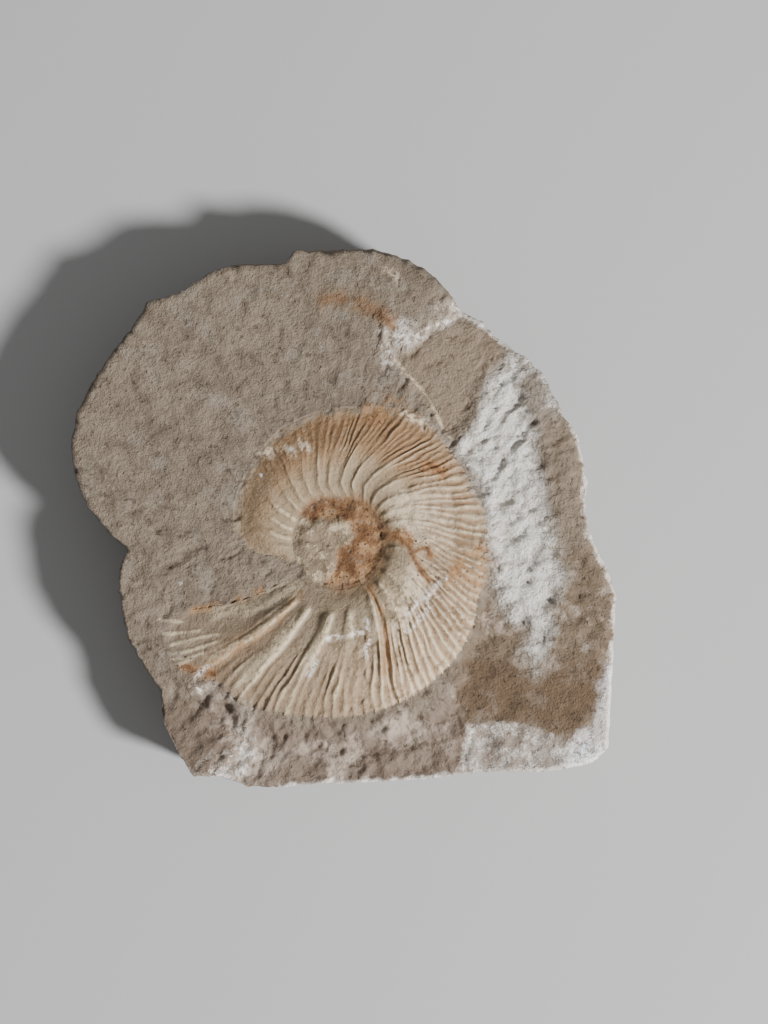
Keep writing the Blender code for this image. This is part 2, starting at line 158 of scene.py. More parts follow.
areas = {
    "facet": [
        [(7.6, 23.4), (11.2, 17.9), (14.2, 13.5), (15.7, 10.9), (17.4, 11.3), (19.8, 14.6),
         (20.1, 17.2), (21.1, 20.9), (23.8, 23.5), (22.4, 26), (20.4, 28.2), (18.3, 29.6),
         (14.2, 26.9), (11, 25.3)]],
    "white": [
        [(24.9, 23.5), (22.3, 21.5), (20.2, 18.7), (19.5, 14.7), (18.4, 12.5), (16.1, 10.8),
         (18.1, 8.5), (20.2, 4), (21.5, 0), (21.8, -6.2), (22.3, -10.2), (23.8, -13.6),
         (24.9, -15.3), (26.9, -16.4), (27.7, -19.2), (27.1, -20.9), (28, -22.6), (29.7, -20.4),
         (30.3, -15.8), (30.8, -12.4), (32, -8.5), (30.8, -4.5), (30.3, 1.1), (29.1, 6.8),
         (28, 12.5), (27.9, 15.2), (29.7, 15.8), (31.1, 15.8), (29.1, 20.9), (26.9, 22.6)]],
    "crumbled": [
        [(5.4, 27.4), (7.6, 28.2), (9.3, 26.6), (11.6, 27.2), (13.9, 30), (14.4, 31.7),
         (16.7, 31.7), (18.5, 29.1), (16.7, 27.7), (13.9, 27.2), (12.2, 25.5), (10.7, 23.8),
         (8.8, 22.1), (6.5, 23.8), (5.4, 24.9)],
        [(-14.8, -31.5), (-13.8, -32.6), (-13.5, -34.7), (-14.8, -36.8), (-16.9, -38.4),
         (-20.1, -38.1), (-18.5, -36.8), (-15.9, -34.2)]],
    "tan": [
        [(25.9, 19.9), (26.9, 21.2), (28.6, 20.8), (29.5, 18.7), (29.3, 16.1), (27.8, 14.4),
         (26.6, 16.8), (25.8, 18.3)],
        [(29.7, 12.5), (31.1, 14.2), (33.1, 13.6), (34.3, 10.8), (35.3, 7.4), (35.2, 4),
         (35.9, -1.1), (35.6, -4.5), (33.6, -3.9), (32, -2.8), (30.8, 0), (29.7, 1.7),
         (30.3, 4.5), (29.1, 7.9), (28.6, 10.2)]],
    "brown": [
        [(21.7, -6.2), (23.3, -6.8), (26.1, -7.8), (28.2, -6.8), (31.5, -5.1), (35.9, -3.5),
         (38, -8.4), (40.2, -11.7), (39.7, -16.6), (39.4, -21.5), (38.6, -24.7), (37.5, -28),
         (35.9, -30.2), (33.7, -32.4), (30.4, -31.8), (27.2, -30.5), (23.3, -30.2), (20.6, -29.9),
         (18.4, -30.2), (17.6, -28), (17.4, -24.7), (17.8, -22), (19, -19.3), (20.3, -15.5),
         (21.7, -10)]],
    "deepBrown": [
        [(18.7, -21.5), (21.7, -20.9), (27.2, -21.5), (31.5, -21.5), (35.9, -20.9), (38.3, -21.5),
         (38.6, -24.7), (37.5, -28), (35.9, -30.2), (33.7, -32.4), (30.4, -31.8), (27.2, -30.5),
         (23.3, -30.2), (20.6, -29.9), (18.4, -30.2), (17.6, -28), (17.4, -24.7), (17.8, -22)]],
    "foot": [
        [(-23.3, -26.9), (-20.4, -24), (-15.2, -27.6), (-7.9, -30.1), (1, -31), (12.7, -28.7),
         (17.1, -25.4), (17.6, -30.1), (23, -30.1), (28.9, -32.4), (33.3, -32.5), (36.5, -30.1),
         (42, -32), (42, -42), (-30, -42), (-26, -30.1)]],
    "paleFoot": [
        [(18.4, -30.7), (23.3, -30.2), (27.2, -30.6), (30.4, -31.9), (33.7, -32.6), (35.9, -30.7),
         (38, -28.5), (40.2, -28), (40.2, -35.6), (35.9, -38.3), (18.4, -38.9), (16, -38.3),
         (17.6, -34.5)]],
    "corner": [
        [(32.6, -35.1), (34.2, -32.4), (37, -30.2), (38, -26.9), (38.5, -22), (40.2, -21.5),
         (40.2, -35.1), (35.9, -37.8), (31.5, -37.8)]],
    "darkFoot": [
        [(-26.2, -26.9), (-21.1, -26.9), (-17.4, -32.1), (-18.9, -37.2), (-22.6, -38),
         (-25.6, -32.1)]],
    "rust": [
        [(-5.6, 0.3), (-4.3, 1.6), (-2.7, 2.1), (-0.1, 2.3), (2.5, 2), (4.6, 0.6), (5.8, -1.8),
         (5.8, -3.9), (5.2, -6.5), (4.1, -8.6), (2, -9.9), (-0.1, -10.5), (-2.5, -10.2),
         (-1.4, -8.6), (-0.4, -7.3), (-1.1, -6), (-0.4, -5), (1.2, -4.4), (1.9, -2.9),
         (1.2, -1.3), (-0.4, -0.3), (-1.7, -0.8), (-3, -0.3), (-4.3, -0.9)],
        [(6.2, -3.1), (8.3, -2.3), (10.4, -2.9), (10.4, -4.4), (8.3, -3.6), (6.5, -4.2)],
        [(11.7, 7.4), (15.1, 7.9), (15.4, 6.3), (13.3, 5.8), (12, 6.3)]],
    "spall": [
        [(8.3, 2.5), (11.3, 4.6), (14.9, 4.9), (16.4, 2.9), (16.8, -0.4), (16.8, -4.1),
         (15.7, -6.3), (13.6, -9.3), (12, -12.2), (9.5, -14.4), (8.6, -12.2), (10.1, -9),
         (12, -6.3), (10.1, -4.1), (8, -2.6), (7.7, 0.3)]],
    "block": [
        [(-1.9, -18.1), (3.6, -17.5), (3.7, -22.1), (3.3, -27.3), (2, -28.6), (1, -27.3),
         (-0.1, -23.7), (-1.4, -21.6)]],
    "shell": [
        [(8.9, -18.1), (9.8, -16.6), (11.8, -14), (13.6, -11.9), (14.6, -9.3), (17.4, -6.6),
         (19.8, -4.9), (23, -4.6), (23, -12), (18.6, -21), (14.2, -26.9), (8.3, -29.9),
         (6.1, -29.1), (6, -24), (8.3, -22.2)]],
    "orange": [
        [(15.7, -8.6), (17.8, -6), (20.4, -4.4), (22.2, -6), (21.7, -9.7), (19.3, -10.7),
         (16.7, -10.2)],
        [(1.5, 14.5), (5.2, 16.6), (8.3, 16.3), (10.4, 15), (8.3, 13.4), (4.1, 12.9)]],
    "flap": [
        [(12.4, 14), (14.5, 15), (15.8, 12.5), (16.4, 10.4), (15.1, 10.7), (13.6, 11.6),
         (12.4, 12.8)]],
}

strokes = {
    "rust": [
        [(6.2, -2.9), (8.3, -3.4), (10.0, -4.9), (10.6, -6.6), (11.6, -8.3), (12.8, -9.8)],
        [(10.5, -5.6), (11.3, -5.1), (12.6, -4.9), (12.8, -5.7)],
        [(12.7, 7.5), (13.9, 6.9), (14.8, 6.0)],
        [(5.6, 29.5), (7.3, 28.2)],
        [(-23.3, -22.3), (-21.0, -23.2), (-19.0, -23.4)]],
    "orange": [
        [(20.5, -4.9), (18.6, -6.3), (16.8, -8.1), (15.2, -9.9)],
        [(-6.4, -11.9), (-9.3, -15.4), (-12.7, -17.9), (-15.7, -19.7), (-18.2, -21.3),
         (-20.2, -22.8)],
        [(4.0, -10.7), (5.8, -14.7), (6.4, -18.7), (6.2, -23.2)],
        [(-22.2, -14.1), (-18.5, -13.4)],
        [(-15.4, -12.6), (-12.2, -11.2)]],
    "crack": [
        [(-6.7, -9.0), (-4.9, -10.4), (-0.5, -11.2), (4.6, -10.1)],
        [(5.8, -0.7), (6.2, -4.1), (5.7, -7.5)],
        [(-0.5 + 6.7 * math.cos(math.radians(turn)), -4.1 + 6.7 * math.sin(math.radians(turn)))
         for turn in range(150, -150, -12)]],
    "vein": [
        [(-5.3, 0.3), (-3.8, 1.6), (-1.7, 2.0), (0.4, 1.3), (2.0, -0.2), (3.0, -2.3), (2.3, -4.4),
         (0.7, -6.0), (-0.1, -7.1), (1.5, -7.6)]],
    "flake": [
        [(15.2, -9.4), (13.0, -10.9), (11.0, -12.9), (9.3, -14.8)],
        [(13.6, -12.6), (12.0, -14.6), (10.3, -16.6), (8.9, -17.6)],
        [(13.4, -11.2), (12.3, -12.6)],
        [(-2.2, -18.3), (0.6, -17.8), (3.2, -17.5)],
        [(3.6, -15.6), (3.8, -18.0), (3.5, -21.0)],
        [(-3.9, -21.7), (-5.2, -24.2)],
        [(-20.1, -22.3), (-21.4, -23.7), (-20.8, -26.3)],
        [(17.4, -36.5), (18.3, -33.5), (18.9, -31.0)]],
    "hook": [
        [(-27.1, -15.5), (-23.7, -15.8)],
        [(-26.1, -17.6), (-21.1, -17.1)],
        [(-25.3, -19.2), (-21.1, -18.1), (-18.5, -17.6)],
        [(-25.3, -20.5), (-22.7, -20.1), (-18.5, -18.7)],
        [(-25.0, -21.3), (-23.2, -21.3), (-20.6, -20.4)],
        [(-24.3, -22.1), (-22.2, -21.3)]],
    "ring": [
        [(-0.5 + 6.6 * math.cos(math.radians(turn)), -4.1 + 6.6 * math.sin(math.radians(turn)))
         for turn in range(75, -100, -12)]],
    "stain": [
        [(-2.6, 31.5), (0.0, 31.9), (3.0, 31.0), (5.5, 29.6), (7.3, 28.2)]],
    "lipRib": [
        [(-7.0, -10.4), (-8.5, -11.3), (-10.6, -12.4), (-13.7, -13.7), (-18.5, -14.6)]],
    # the lit edge of the step down to the facet, painted as a highlight
    "ledge": [
        [(7.6, 23.1), (12.4, 17.9), (13.5, 15.9), (14.9, 12.9), (16.0, 11.3)]],
    "smudge": [
        [(-6.3, 11.0), (-5.1, 10.0)],
        [(6.4, 35.8), (8.0, 34.8)],
        [(-8.1, 9.7), (-7.4, 9.2)],
        [(-11.2, 9.5), (-10.7, 9.1)],
        [(9.3, 15.2), (11.0, 14.2), (12.2, 13.0)]],
    "rim": [
        [(17.6, 30.0), (22.4, 26.3), (26.8, 23.4), (29.0, 21.5), (31.3, 17.2), (34.5, 11.6),
         (35.8, 5.0), (35.4, 0.7), (36.4, -3.2), (38.8, -8.1), (39.9, -11.9), (39.5, -18.7),
         (39.0, -26.9), (38.6, -33.7), (36.3, -36.0), (29.6, -37.2), (12.9, -38.2), (1.8, -38.8),
         (-9.0, -39.4)]],
}

spots = {
    # pits that are only painted dark, as painted shade
    "pit": [(-29.6, -18.7), (-33.8, 21.6), (14.9, 20.1), (4.3, 21.5), (-4.0, 1.0), (9.0, 31.5)],
    "fleck": [(-17.3, 33.5), (-9.0, 32.2), (-23.8, -10.0), (-12.0, 6.0), (-5.7, 10.3),
              (-7.7, 9.7)],
}

stone = {
    "plain": (0.229, 0.181, 0.134),
    "mottle": (0.17, 0.13, 0.092),
    "bloom": (0.30, 0.252, 0.20),
    "facet": (0.25, 0.188, 0.131),
    "brown": (0.172, 0.122, 0.079),
    "deepBrown": (0.125, 0.08, 0.045),
    "white": (0.95, 0.90, 0.83),
    "chalky": (0.60, 0.52, 0.43),
    "side": (0.245, 0.195, 0.147),
    "chalk": (0.93, 0.94, 0.97),
    "tan": (0.225, 0.172, 0.122),
    "foot": (0.2, 0.147, 0.11),
    "footPale": (0.46, 0.375, 0.30),
    "paleFoot": (0.35, 0.30, 0.255),
    "darkFoot": (0.15, 0.11, 0.078),
    "cream": (0.33, 0.25, 0.138),
    "warm": (0.28, 0.158, 0.074),
    "pale": (0.88, 0.71, 0.51),
    "worn": (0.70, 0.58, 0.39),
    "orange": (0.35, 0.183, 0.074),
    "rust": (0.155, 0.068, 0.025),
    "fill": (0.26, 0.19, 0.122),
    "crack": (0.04, 0.02, 0.012),
    "shadow": (0.42, 0.36, 0.30),
    "roughness": 0.88,
    "bump": 0.0007,
}

light = {
    "direction": (0.68, -0.38, 0.56),
    "distance": 0.9,
    "size": 0.15,
    "power": 19.8,
    "fill": 0.32,
    "floor": (0.42, 0.42, 0.42),
}

view = {
    "target": (5.96, 0.45, 12.4),
    "distance": 400,
    "tilt": 4,
    "lens": 96.9,
}


tint = {  # how far each stain goes along the coil, with the lighter crests partly painted highlight and the furrows partly painted shade
    "cream": [(201, 0.5), (60, 0.5), (20, 0.35), (-15, 0.35), (-45, 0.55), (-66, 0.4), (-80, 0.3),
              (-120, 0.15), (-126, 0.2), (-131, 0.12), (-141, 0.08), (-145, 0.0)],
    "dim": [(45, 0.0), (20, 0.6), (-15, 0.55), (-40, 0.1), (-60, 0.5), (-80, 0.6), (-135, 0.6),
            (-145, 0.0)],
    "warm": [(201, 0.3), (170, 0.5), (130, 0.85), (110, 0.95), (60, 0.9), (45, 0.55), (20, 0.3), (-20, 0.3),
             (-55, 0.4), (-65, 0.3), (-100, 0.25), (-122, 0.3), (-128, 0.5), (-133, 0.15),
             (-145, 0.1)],
    "pale": [(201, 0.1), (60, 0.12), (35, 0.35), (0, 0.5), (-25, 1.0), (-50, 1.0), (-60, 0.5),
             (-80, 0.2), (-120, 0.1), (-145, 0.0)],
    "worn": [(201, 0.55), (40, 0.65), (-50, 0.7), (-80, 0.65), (-130, 0.75), (-145, 0.4)],
    "wornOut": [(201, 0.42), (125, 0.46), (110, 0.7), (75, 0.85), (62, 1.3), (-145, 1.3)],
    "furrows": [(201, 0.0), (120, 0.2), (75, 0.5), (62, 0.9), (40, 0.9), (25, 0.9), (-40, 0.9),
                (-62, 0.5), (-80, 0.45), (-105, 0.3), (-124, 0.3), (-130, 0.0)],
}


def along(stations, angles):  # the value at each angle, from stations listed by falling angle
    return np.interp(-angles, [-angle for angle, _ in stations], [value for _, value in stations])


def ramp(value, low, high):  # 0 below low, 1 above high, smooth between
    share = np.clip((value - low) / (high - low), 0, 1)
    return share * share * (3 - 2 * share)


def lattice(x, y, seed):  # smooth noise between about -1 and 1, a lump to a unit
    cellX, cellY = np.floor(x), np.floor(y)
    u, v = x - cellX, y - cellY

    def slope(stepX, stepY):
        turn = np.sin((cellX + stepX) * 127.1 + (cellY + stepY) * 311.7 + seed * 74.7) * 43758.5453
        turn = (turn - np.floor(turn)) * math.tau
        return np.cos(turn) * (u - stepX) + np.sin(turn) * (v - stepY)

    easeU, easeV = (run * run * run * (run * (run * 6 - 15) + 10) for run in (u, v))
    low = slope(0, 0) + easeU * (slope(1, 0) - slope(0, 0))
    high = slope(0, 1) + easeU * (slope(1, 1) - slope(0, 1))
    return 1.4 * (low + easeV * (high - low))


def lumps(x, y, grain, seed, octaves=4, turn=0, stretch=1):  # uneven ground, about -1 to 1
    cosine, sine = math.cos(math.radians(turn)), math.sin(math.radians(turn))
    u, v = (x * cosine + y * sine) / (grain * stretch), (y * cosine - x * sine) / grain
    return sum(lattice(u * 2 ** step, v * 2 ** step, seed + step) / 2 ** step
               for step in range(octaves))


def lineDistance(points, x, y):  # to an open line
    nearest = np.full(x.shape, np.inf)
    for (x0, y0), (x1, y1) in zip(points, points[1:]):
        dx, dy = x1 - x0, y1 - y0
        share = np.clip(((x - x0) * dx + (y - y0) * dy) / (dx * dx + dy * dy), 0, 1)
        nearest = np.minimum(nearest, np.hypot(x - x0 - share * dx, y - y0 - share * dy))
    return nearest


def depthInside(corners, x, y):  # how far inside a polygon, negative outside
    inside = np.zeros(x.shape, bool)
    closed = corners + corners[:1]
    for (x0, y0), (x1, y1) in zip(closed, closed[1:]):
        if y0 != y1:
            between = (y0 > y) != (y1 > y)
            inside ^= between & (x < x0 + (y - y0) * (x1 - x0) / (y1 - y0))
    return np.where(inside, 1, -1) * lineDistance(closed, x, y)


def depthInArea(name, x, y):
    return np.max([depthInside(corners, x, y) for corners in areas[name]], axis=0)


def outlineReach(angles):  # from the middle of the coil to the outline of the plate
    closed = plate["outline"] + plate["outline"][:1]
    rayX, rayY = np.cos(np.radians(angles)), np.sin(np.radians(angles))
    farthest = np.zeros(angles.shape)
    for (x0, y0), (x1, y1) in zip(closed, closed[1:]):
        offX, offY = x0 - coil["centre"][0], y0 - coil["centre"][1]
        dx, dy = x1 - x0, y1 - y0
        slant = rayX * dy - rayY * dx
        slant = np.where(np.abs(slant) < 1e-9, 1e-9, slant)
        share = (offX * rayY - offY * rayX) / slant
        reach = np.where((share >= 0) & (share <= 1), (offX * dy - offY * dx) / slant, 0)
        farthest = np.maximum(farthest, reach)
    return farthest


def columnAngles():  # where each column leaves the umbilicus
    ends = [coil["lip"] + 360 - coil["lipGap"], *ribs["primaries"], coil["lip"] + coil["lipGap"]]
    angles = []
    for start, end in zip(ends, ends[1:]):
        pitch = along(ribs["pitches"], np.array(start))
        count = grid["columnsPerRib"] * max(round((start - end) / pitch), 1)
        if start == ends[0]:
            count = grid["bareColumns"]
        angles += [start + (end - start) * i / count for i in range(count)]
    return np.array(angles + ends[-1:])


def ribLean(base, share):  # how far a rib has swept forward at a share of the way across
    run = np.clip((share - ribs["straight"]) / (1 - ribs["straight"]), 0, 1)
    wall = np.clip(1 - share / 0.17, 0, 1) ** 1.5
    swept = along(ribs["leans"], base) * np.sin(np.pi / 2 * run) ** 1.3
    return swept + along(ribs["wallTurns"], base) * wall


def ringMargin(angles):  # where the coil's outermost ring runs
    lip, first = coil["margin"][-1][1], coil["firstTurn"]
    start = coil["lip"] + 348
    eased = lip - (lip - first) * (start - angles) / coil["firstTurnRun"]
    return np.maximum(along(coil["margin"], angles), eased)


def ribPhase(base):  # primary rib passed, way to the next one, and the secondary rib there
    first, last = ribs["outside"]
    primaries = np.array([first, *ribs["primaries"], last], float)
    number = np.searchsorted(-primaries, -base, side="right") - 1
    between = (number >= 0) & (number < len(primaries) - 1)
    number = np.clip(number, 0, len(primaries) - 2)
    gap = primaries[number] - primaries[number + 1]
    offset = primaries[number] - base
    count = np.maximum(np.round(gap / along(ribs["pitches"], primaries[number])), 1)
    turn = count * offset / gap
    return between, number, gap, offset, turn


def ribHeight(base, share):  # height of the ribs, and how deep in an outer groove a place lies
    between, number, gap, offset, turn = ribPhase(base)
    radius = coil["umbilicus"] + share * (along(coil["margin"], base) - coil["umbilicus"])
    before, after = np.degrees(along(ribs["before"], base) / radius), along(ribs["after"], base)
    near = np.minimum(np.minimum(offset / after, (gap - offset) / before), 1)
    nearest = number + (offset * (after + before) > gap * after)
    pointed = 1 - np.sin(np.pi / 2 * np.sqrt(near * near * 0.99 + 0.01))
    rounded = along(ribs["rounded"], base)
    primary = pointed + (0.5 + 0.5 * np.cos(np.pi * near) - pointed) * rounded
    primary = primary * (1 - 0.22 * np.sin(5.7 * nearest))
    order = np.round(turn) + 5 * number
    trough = np.abs(np.sin(np.pi * turn))
    secondary = 1 - trough ** along(ribs["sharpness"], base)
    secondary = secondary * (1 - ribs["unevenness"] * (0.5 + 0.5 * np.sin(7.3 * order)))
    fork = along(ribs["forks"], base) + 0.07 * np.sin(4.1 * order)
    forked = ramp(share, fork - 0.1, fork + 0.14)
    fade = along(ribs["fades"], base) + 0.06 * np.sin(3.3 * nearest)
    faded = (1 - along(ribs["kept"], base)) * ramp(share, fade - 0.16, fade + 0.16)
    start = along(ribs["starts"], base)
    primary = primary * along(ribs["primaryHeights"], base) * ramp(share, start, start + 0.08)
    secondary = secondary * along(ribs["secondaryHeights"], base) * forked
    furrow = np.where(between, trough ** 3 * forked * along(tint["furrows"], base), 0)
    return np.where(between, primary * (1 - faded) + secondary, 0), furrow


def scallopedShare(base, share):  # the margin draws in between the ends of the ribs
    between, _, _, _, turn = ribPhase(base)
    trough = np.where(between, np.abs(np.sin(np.pi * turn)), 0)
    return share * (1 + along(ribs["scallops"], base) * trough * ramp(share, 0.8, 1))


def coilHeight(base, share, x, y):  # height of the fossil, how far its ribs rise, its furrows
    bent = base + ribs["wander"] * lumps(base / 6, share * 4, 1.0, 21.0, 2)
    crest = along(coil["crestHeights"], base)
    place = coil["crestPlace"]
    dip = (np.maximum(place - share, 0) / place) ** 2
    inner = 1 - (1 - along(coil["shoulderShares"], base)) * dip
    run = np.maximum(share - place, 0) / (1 - place)
    fall = run ** 2 * (1 + along(coil["merges"], base) * (2 - 2 * run))
    outer = 1 - (1 - along(coil["marginShares"], base)) * fall
    stray = 0.8 * lumps(x, y, 2.0, 23.0)
    spalled = ramp(depthInArea("spall", x, y) + 1.5 * stray, -1.2, 1.2)
    blocked = ramp(depthInArea("block", x, y) + 0.4 * stray, -0.2, 0.2)
    rise, furrow = ribHeight(bent, share)
    rise = rise * (1 - 0.45 * spalled) * (1 - 0.55 * blocked)
    rise = rise * (1 - 0.35 * ramp(lumps(x, y, 7.0, 31.0, 2), 0.1, 0.7))
    rise = rise * (1 - along(ribs["ends"], base) * ramp(share, 0.82, 0.98))
    for angle, halfWidth, depth in ribs["constrictions"]:
        pressed = 1 - ramp(np.abs(bent - angle), 0, halfWidth)
        rise = rise - depth * pressed * ramp(share, 0, 0.2)
    hooks = np.min([lineDistance(points, x, y) for points in strokes["hook"]], axis=0)
    rise = rise + 0.2 * (1 - ramp(hooks, 0, 0.4))
    height = plate["height"] + crest * np.where(share < place, inner, outer) + rise
    wall = ramp(share, -0.03, 0.1)
    height = coil["floor"] + (height - coil["floor"]) * wall
    broken = np.maximum(spalled, blocked)
    height = height - ribs["spallDepth"] * broken * (1 + 1.4 * lumps(x, y, 1.3, 41.0))
    shell = depthInArea("shell", x, y) + 0.7 * stray
    height = height + ribs["shellStep"] * ramp(shell, -0.12, 0.12)
    height = height + ribs["flapStep"] * ramp(depthInArea("flap", x, y) + 0.3 * stray, -0.12, 0.12)
    flakes = np.min([lineDistance(points, x, y) for points in strokes["flake"]], axis=0)
    height = height + 0.1 * (1 - ramp(flakes + 0.4 * stray, 0, 0.4))
    height = height + 0.045 * lumps(x, y, 1.2, 43.0) + 0.09 * lumps(x, y, 4.0, 47.0, 2)
    return height, rise, furrow


def pitted(x, y):  # 0 on whole ground, 1 in a pit
    return ramp(lumps(x, y, 1.9, 29.0, 3, plate["grainTurn"], 1.6), 0.3, 0.75)


def coarse(x, y):  # the weathered grain of the bedding plane
    return lumps(x, y, 2.2, 13.0, 4, plate["grainTurn"], 1.5)


def plateHeight(x, y):
    raggedX, raggedY = x + 0.9 * lumps(x, y, 2.6, 11.0), y + 0.9 * lumps(x, y, 2.6, 17.0)
    split = np.zeros(x.shape)
    for corners, depth, edge in splits.values():
        inside = ramp(depthInside(corners, raggedX, raggedY), -edge / 4, edge / 4)
        split = np.maximum(split, depth * inside)
    rough = np.ones(x.shape)
    for name, amount in plate["roughness"].items():
        inside = ramp(depthInArea(name, raggedX, raggedY), -0.6, 0.6)
        rough = rough + (amount - rough) * inside
    grain = plate["coarse"] * coarse(x, y) + plate["fine"] * lumps(x, y, 0.9, 19.0, 3)
    ground = plate["ground"] * lumps(x, y, 5.0, 0.0, 3)
    shards = plate["shards"] * np.maximum(rough - 1, 0)
    shards = shards * np.abs(lumps(x, y, 4.5, 61.0, 4, 70, 1.6))
    onFoot = ramp(depthInArea("foot", raggedX, raggedY), 0, 3.5)
    onWhite = ramp(depthInArea("white", raggedX, raggedY), 0, 1.5)
    boulders = plate["boulders"] * onFoot * np.abs(lumps(x, y, 7.0, 71.0, 3, 55, 1.3))
    return (plate["height"] - split + ground + rough * grain
            - 0.28 * (1 - onFoot) * (1 - 0.6 * onWhite) * pitted(x, y) - shards - boulders)


def umbilicusHeight(share, x, y):
    groove = coil["groove"] * (1 - ramp(np.abs(share - 0.93), 0, 0.12))
    sunken = 0.4 * ramp(depthInArea("rust", x, y) + 0.8 * lumps(x, y, 1.8, 51.0), -0.5, 0.5)
    rough = 0.5 * lumps(x, y, 3.0, 4.0, 2) + 0.16 * lumps(x, y, 1.6, 6.0, 1)
    return coil["floor"] + 0.15 + rough - groove - sunken


def stoneRows():  # base angle, place, kind of row and share of the way along it
    bases = columnAngles()
    rows = []

    def addRow(kind, angles, radii, share):
        x = coil["centre"][0] + radii * np.cos(np.radians(angles))
        y = coil["centre"][1] + radii * np.sin(np.radians(angles))
        rows.append([bases, x, y, np.full(x.shape, kind), share + np.zeros(x.shape)])

    for ring in range(1, grid["umbilicus"] + 1):
        share = ring / (grid["umbilicus"] + 1)
        addRow(0, bases, share * coil["umbilicus"] + 0 * bases, share)
    for ring in range(grid["coil"]):
        share = ring / (grid["coil"] - 1)
        angles = bases - ribLean(bases, share)
        width = share * (ringMargin(angles) - coil["umbilicus"])
        own = width / (along(coil["margin"], angles) - coil["umbilicus"])
        addRow(1, angles, coil["umbilicus"] + width, own)
    angles = bases - ribLean(bases, 1.0)
    turnX, turnY = 30 * np.cos(np.radians(angles)), 30 * np.sin(np.radians(angles))
    margin = ringMargin(angles)
    rim = outlineReach(angles) - plate["ragged"] * np.abs(lumps(turnX, turnY, 1.8, 3.0))
    bevel = along(plate["rimBevels"], angles) * (1 + 0.45 * lumps(turnX, turnY, 3.0, 5.0))
    for ring in range(1, grid["plate"] + 1):
        share = (ring / grid["plate"]) ** 1.05 if ring > 1 else 0.012
        addRow(2, angles, margin + share * (rim - bevel - margin), share)
    for ring in range(1, grid["bevel"] + 1):
        share = ring / grid["bevel"]
        addRow(3, angles, rim - bevel * (1 - share), share)
    for ring in range(1, grid["wall"] + 1):
        share = ring / grid["wall"]
        inset = np.interp(1 - share, [0, plate["waistHeight"] / plate["widestHeight"], 1],
                          [plate["footInset"], plate["waistInset"], 0])
        fall = plate["widestHeight"] * share
        chip = 0.6 * np.abs(lumps(turnX + 0.9 * fall, turnY + 0.7 * fall, 3.2, 7.0))
        chip = chip + 0.35 * np.abs(lumps(turnX - fall, turnY + 0.4 * fall, 6.0, 27.0, 2))
        addRow(4, angles, rim - inset - chip * (1 - share ** 6), share)
    for ring in range(1, grid["underside"] + 1):
        share = 1 - ring / (grid["underside"] + 1)
        addRow(5, angles, (rim - plate["footInset"]) * share, share)
    return [np.array(part) for part in zip(*rows)]


def stoneSurface():
    base, x, y, kind, share = stoneRows()
    z, rise, furrow = (np.zeros(x.shape) for _ in range(3))
    onCoil = np.zeros(x.shape, bool)
    widest = plate["widestHeight"]
    rows = kind[:, 0]
    flat = rows <= 2
    z[flat] = plateHeight(x[flat], y[flat])
    top = z[rows == 2][-1]
    middle = rows == 0
    z[middle] = umbilicusHeight(share[middle], x[middle], y[middle])
    turned = rows == 1
    own = scallopedShare(base[turned], share[turned])
    onCoil[turned] = (base[turned] > coil["lip"]) & (base[turned] < coil["start"]) & (own < 1.001)
    fossil, rise[turned], furrow[turned] = coilHeight(base[turned], own, x[turned], y[turned])
    ground = np.clip(z[turned] - plate["height"], -0.3, 0.3)
    fossil = fossil + ground * ramp(own, 0.8, 1)
    fossil = fossil + (z[turned] - fossil) * ramp(base[turned], -136.5, -145)
    z[turned] = np.where(onCoil[turned], fossil, z[turned])
    lost = along(tint["wornOut"], base)
    across = share.copy()
    across[turned] = own
    merged = along(coil["merges"], base) * ramp(across + 0.06 * lumps(x, y, 1.4, 53.0), 0.86, 1)
    # lighter rib crests, partly wear and partly painted highlight, fading out towards the margin
    worn = along(tint["worn"], base) * ramp(rise, 0.14, 0.42) * (1 - merged)
    worn = np.where(onCoil, worn * (1 - ramp(share, lost - 0.16, lost + 0.16)), 0)
    outer = 0.25 + 0.75 * ramp(share, 0.22, 0.6)
    onPlate = (kind == 2) | (kind == 3)
    # the pitted and hollow masks place painted shade in the plate's pits and grain hollows
    masks = {"onCoil": onCoil * 1.0, "worn": worn, "furrow": np.where(onCoil, furrow, 0),
             "fill": (kind == 0) * 1.0, "pitted": onPlate * pitted(x, y),
             "hollow": onPlate * ramp(coarse(x, y), 0, -0.7),
             "side": np.select([kind == 4, kind == 5], [ramp(share, 0.02, 0.3), 1], 0)}
    for name, reach in {"dim": 1, "cream": 1, "warm": outer, "pale": ramp(share, 0.08, 0.5)}.items():
        masks[name] = np.where(onCoil, along(tint[name], base) * reach * (1 - merged), 0)
    addMasks(masks, x, y)
    chips = 0.4 * lumps(x, y, 1.7, 9.0)
    bevel = top + (widest - top) * share ** 1.25 + chips * np.sin(np.pi * share)
    under = np.maximum(0.22 * lumps(x, y, 4.0, 8.0), 0)
    z = np.select([kind <= 2, kind == 3, kind == 4], [z, bevel, widest * (1 - share)], under)
    spread = 1 + (plate["spread"] - 1) * np.select([kind < 2, kind == 2], [0, share], 1)
    return x * spread, y * spread, z, masks


def spunDrum(topRings, lowerRings, columns):  # a closed drum of rings and columns
    radii = [*range(topRings + 1), *range(topRings - 1, topRings - 1 - lowerRings, -1), 0]
    drum = bmesh.new()
    bmesh.ops.create_grid(drum, x_segments=columns, y_segments=len(radii) - 1, size=0.5)
    for vertex in drum.verts:
        turn = math.tau * round((vertex.co.x + 0.5) * columns) / columns
        ring = round((vertex.co.y + 0.5) * (len(radii) - 1))
        radius = radii[ring]
        vertex.co = (radius * math.cos(turn), -radius * math.sin(turn), -(ring > topRings))
    bmesh.ops.remove_doubles(drum, verts=drum.verts, dist=0.0001)
    bmesh.ops.recalc_face_normals(drum, faces=drum.faces)
    mesh = bpy.data.meshes.new("ammoniteStone")
    drum.to_mesh(mesh)
    drum.free()
    return mesh


